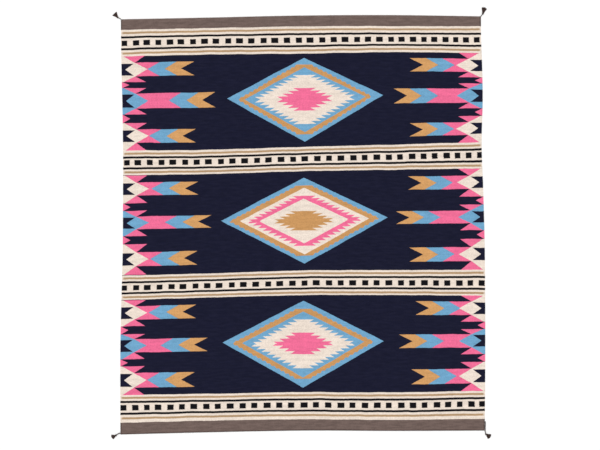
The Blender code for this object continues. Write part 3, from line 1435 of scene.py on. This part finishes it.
@dataclass
class CornerTassel:
    """A yarn tassel at a corner: a two-ply neck, a bound head and a fanned skirt.

    Attributes:
        name: the piece's name, and its node's with it.
        across, along: the corner of the cloth.
        beside: 1 where the neck lies along the right selvedge.
        route: the neck's route from the corner, in millimetres.
        radius: the neck's radius, in millimetres.
        half_turns: how many half turns its plies make.
        heading: where the skirt points, in degrees from +X.
        reach: length of the skirt, in millimetres.
        half_spread: half the angle of its fan, in degrees.
        cut: 1 for a skirt cut straight across, 0 for a rounded one.
        strands: how many strands it has.
        strand_radius: a strand's radius, in millimetres.
        seat_gap: how far a neck beside the selvedge stands off it, in millimetres.
    """

    name: str
    across: float
    along: float
    beside: float
    route: tuple[tuple[float, float], ...]
    radius: float
    half_turns: int
    heading: float
    reach: float
    half_spread: float
    cut: float
    strands: int = 72
    strand_radius: float = 0.62
    seat_gap: float = 0.3

    def build(
        self, lay: Lay, shift: Vector, material: bpy.types.Material
    ) -> bpy.types.Object:
        """Model the tassel at its corner.

        Args:
            lay: where the cloth lies.
            shift: the move from the cloth's own place to the frame.
            material: the tassel yarn.

        Returns:
            The finished tassel.
        """
        curve = bpy.data.curves.new(self.name, "CURVE")
        curve.dimensions = "3D"
        curve.bevel_depth = 1.0
        curve.bevel_resolution = 1
        curve.use_fill_caps = True
        corner = lay.point(self.across, self.along) + shift
        corner.x += self.beside * (self.radius + self.seat_gap) * MM
        centres = self.neck_centres()
        for ply in range(2):
            self.draw(curve, corner, self.ply_points(centres, ply), self.radius * PLY_SHARE)
        for number in range(self.strands):
            self.draw(curve, corner, self.strand_points(centres, number), self.strand_radius)
        self.draw(curve, corner, self.binding_points(centres), BINDING_RADIUS)
        deselect_all()
        tassel = bpy.data.objects.new(self.name, curve)
        bpy.context.collection.objects.link(tassel)
        tassel.select_set(True)
        bpy.context.view_layer.objects.active = tassel
        bpy.ops.object.convert(target="MESH")
        tassel = bpy.context.object
        tassel.name = "yarn_" + self.name
        tassel.data.materials.clear()
        tassel.data.materials.append(material)
        bpy.ops.object.shade_smooth()
        finish_piece(tassel, (self.name,))
        return tassel

    @staticmethod
    def draw(
        curve: bpy.types.Curve, corner: Vector, points: Sequence[Vector], radius: float
    ) -> None:
        """Draw one yarn.

        Args:
            curve: the curve to draw it in.
            corner: the tassel's corner of the cloth, in metres.
            points: the yarn's points, in millimetres from the corner.
            radius: the yarn's radius, in millimetres.
        """
        spline = curve.splines.new("POLY")
        spline.points.add(len(points) - 1)
        for spot, point in zip(spline.points, points):
            place = corner + point * MM
            spot.co = (place.x, place.y, place.z, 1.0)
            spot.radius = radius * MM

    def neck_centres(self) -> list[Vector]:
        """Middle line of the neck, with the cord on the floor.

        Returns:
            Points on it, in millimetres from the corner.
        """
        spots = [Vector((x, y, 0.0)) for x, y in self.route]
        places = [0.0]
        for before, after in zip(spots, spots[1:]):
            places.append(places[-1] + (after - before).length)
        count = max(LEAST_NECK_STEPS, round(places[-1] / NECK_STEP))
        xs, ys = [spot.x for spot in spots], [spot.y for spot in spots]
        steps = [places[-1] * k / count for k in range(count + 1)]
        return [
            Vector((smooth_value(places, xs, s), smooth_value(places, ys, s), self.radius))
            for s in steps]

    def ply_points(self, centres: Sequence[Vector], ply: int) -> list[Vector]:
        """One of the neck's two plies, wound round its middle line.

        Args:
            centres: the neck's middle line.
            ply: 0 or 1.

        Returns:
            The ply's points, in millimetres from the corner.
        """
        points = []
        last = len(centres) - 1
        off_middle = self.radius * WINDING_SHARE
        for k, centre in enumerate(centres):
            run = (centres[min(k + 1, last)] - centres[max(k - 1, 0)]).normalized()
            angle = math.pi * (self.half_turns * k / last + ply)
            around = level_side(run) * math.cos(angle) + Vector((0, 0, math.sin(angle)))
            points.append(centre + around * off_middle)
        return points

    def head_stations(self, centres: Sequence[Vector]) -> list[tuple[Vector, Vector, HeadSection]]:
        """Stations of the head, which turns from the neck's run to the skirt's.

        Args:
            centres: the neck's middle line.

        Returns:
            Middle, run and section at each station.
        """
        neck_run = (centres[-1] - centres[-2]).normalized()
        spot = centres[-1].copy()
        passed = 0.0
        stations = []
        for section in HEAD_SECTIONS:
            share = section.past / HEAD_SECTIONS[-1].past
            run = neck_run.lerp(level_run(self.heading), ease(share)).normalized()
            spot = spot + run * (section.past - passed)
            passed = section.past
            spot.z = section.half_height
            stations.append((spot.copy(), run, section))
        return stations

    def strand_points(self, centres: Sequence[Vector], number: int) -> list[Vector]:
        """One strand, from inside the neck through the head to its cut end.

        Args:
            centres: the neck's middle line.
            number: the strand's number.

        Returns:
            The strand's points, in millimetres from the corner.
        """
        ring = math.sqrt((number + 0.5) / self.strands)
        aside = ring * math.cos(number * GOLDEN_ANGLE)
        high = ring * math.sin(number * GOLDEN_ANGLE)
        points = []
        for spot, run, section in self.head_stations(centres):
            width = section.half_width - self.strand_radius
            height = section.half_height - self.strand_radius
            points.append(
                spot + level_side(run) * (aside * width) + Vector((0, 0, high * height)))
        root = points[-1]
        fanned = aside * (1 - FAN_UNEVENNESS) + FAN_UNEVENNESS * math.sin(number * FAN_STEP)
        turn = self.half_spread * fanned
        run = level_run(self.heading - turn)
        side = level_side(run)
        straight = math.cos(math.radians(self.half_spread)) / math.cos(math.radians(turn))
        rounded = 1 - ROUNDED_CUT * aside * aside
        share = straight * self.cut + rounded * (1 - self.cut)
        uneven = (1 - CUT_UNEVENNESS) + CUT_UNEVENNESS * math.sin(number * CUT_STEP)
        length = self.reach * share * uneven
        layer = (number * LAYER_STEP % LAYERS) * LAYER_HEIGHT * (0.5 + 0.5 * (high + 1) / 2)
        rest = self.strand_radius + layer
        for k in range(1, STRAND_STEPS + 1):
            along = k / STRAND_STEPS
            settled = ease(along * length / SETTLED_AFTER)
            phase = number * SWAY_STEP + along * (BENDS + number % BENDS)
            sway = SWAY * along * math.sin(phase)
            spot = root + run * (along * length) + side * sway
            lying = rest * (1 + TIP_DROOP * (1 - along))
            spot.z = max(root.z + (lying - root.z) * settled, self.strand_radius)
            points.append(spot)
        return points

    def binding_points(self, centres: Sequence[Vector]) -> list[Vector]:
        """The yarn wound round the dip of the head.

        Args:
            centres: the neck's middle line.

        Returns:
            Its points, in millimetres from the corner.
        """
        stations = self.head_stations(centres)
        (before, run, first), (after, _, second) = stations[-3], stations[-2]
        points = []
        last = BINDING_TURNS * BINDING_STEPS
        for k in range(last + 1):
            share = BINDING_START + (1 - BINDING_START) * k / last
            angle = 2 * math.pi * k / BINDING_STEPS
            width = first.half_width + (second.half_width - first.half_width) * share
            height = first.half_height + (second.half_height - first.half_height) * share
            spot = before.lerp(after, share) + level_side(run) * (math.cos(angle) * width)
            spot.z = max(BINDING_RADIUS, height + math.sin(angle) * height)
            points.append(spot)
        return points


TASSELS = (
    CornerTassel("tassel_far_left", -1, 0, 0, ((-0.25, 0.21), (-8.0, 6.5), (-16.0, 10.0)),
                 2.7, 3, 132.0, 34.0, 28.0, 1.0),
    CornerTassel("tassel_far_right", 1, 0, 0, ((0.21, 0.25), (5.5, 6.5), (10.2, 13.0)),
                 2.7, 3, 75.0, 39.0, 24.0, 0.0),
    CornerTassel("tassel_near_left", -1, 1, 0, ((-1.35, 9.0), (-14.0, 5.0), (-26.2, -3.0)),
                 3.5, 3, 207.0, 26.0, 33.0, 0.0),
    CornerTassel("tassel_near_right", 1, 1, 1,
                 ((1.1, 60.0), (0.7, 32.0), (0.4, 6.0), (0.6, -5.0), (3.2, -19.0)),
                 3.2, 9, -33.0, 31.0, 34.0, 0.0),
)


@dataclass
class Studio:
    """Pale floor, soft light and the camera straight above.

    Attributes:
        height: the camera's height, in metres.
        floor_size: side of the floor, in metres.
        floor_gap: how far the floor stays clear of the rug's flat underside, in metres.
        fill: strength of the light from all round.
        key: strength of the soft light overhead.
        key_from: where that light comes from.
        softness: how wide it is, in degrees.
        floor_shade, floor_roughness: the floor's finish.
        far_clip: how far the camera sees, in metres.
    """

    height: float = 12.0
    floor_size: float = 16.0
    floor_gap: float = 0.0002
    fill: float = 0.85
    key: float = 1.07
    key_from: tuple[float, float, float] = (-2.0, 2.5, 6.0)
    softness: float = 25.0
    floor_shade: float = 0.93
    floor_roughness: float = 0.9
    far_clip: float = 100.0

    def build(self, shift: Vector) -> None:
        """Set up the stage.

        Args:
            shift: the move from the cloth's own place to the frame.
        """
        self.floor()
        self.light()
        self.camera(shift)
        bpy.context.scene.view_settings.view_transform = "Standard"

    def floor(self) -> None:
        """A plain white floor under the rug."""
        deselect_all()
        bpy.ops.mesh.primitive_plane_add(
            size=self.floor_size, location=(0.0, 0.0, -self.floor_gap))
        floor = bpy.context.object
        floor.name = "studio_floor"
        material = bpy.data.materials.new("white floor")
        material.use_nodes = True
        shader = material.node_tree.nodes["Principled BSDF"]
        shader.inputs["Base Color"].default_value = (*[self.floor_shade] * 3, 1.0)
        shader.inputs["Roughness"].default_value = self.floor_roughness
        floor.data.materials.append(material)

    def light(self) -> None:
        """Even light from all round and one large soft light overhead."""
        world = bpy.data.worlds.new("studio")
        bpy.context.scene.world = world
        world.use_nodes = True
        background = world.node_tree.nodes["Background"]
        background.inputs["Color"].default_value = (1.0, 1.0, 1.0, 1.0)
        background.inputs["Strength"].default_value = self.fill
        lamp = bpy.data.lights.new("overhead", "SUN")
        lamp.energy = self.key
        lamp.angle = math.radians(self.softness)
        item = bpy.data.objects.new("overhead", lamp)
        item.location = self.key_from
        item.rotation_euler = (-item.location).to_track_quat("-Z", "Y").to_euler()
        bpy.context.collection.objects.link(item)

    def camera(self, shift: Vector) -> None:
        """The photograph's camera, square on above the rug.

        Args:
            shift: the move from the cloth's own place to the frame.
        """
        data = bpy.data.cameras.new("camera")
        data.lens = data.sensor_width * self.height / (PHOTO_WIDTH_PX * METRES_PER_PX)
        data.clip_end = self.far_clip
        camera = bpy.data.objects.new("camera", data)
        camera.location = (
            VIEW_CENTRE[0] + shift.x, VIEW_CENTRE[1] + shift.y, self.height + THICKNESS)
        bpy.context.collection.objects.link(camera)
        bpy.context.scene.camera = camera


def main() -> None:
    """Build every piece and the studio, and report each."""
    logging.basicConfig(level=logging.INFO, format="%(name)s: %(message)s")
    groups = WovenGroups()
    cloth = RugCloth()
    sheet = cloth.build(WovenWool().material(groups))
    log.info("%s has %d faces", sheet.name, len(sheet.data.polygons))
    yarn = TasselYarn().material(groups)
    for tassel in TASSELS:
        item = tassel.build(cloth.lay, cloth.shift, yarn)
        log.info("%s has %d faces", item.name, len(item.data.polygons))
    Studio().build(cloth.shift)


if __name__ == "__main__":
    main()
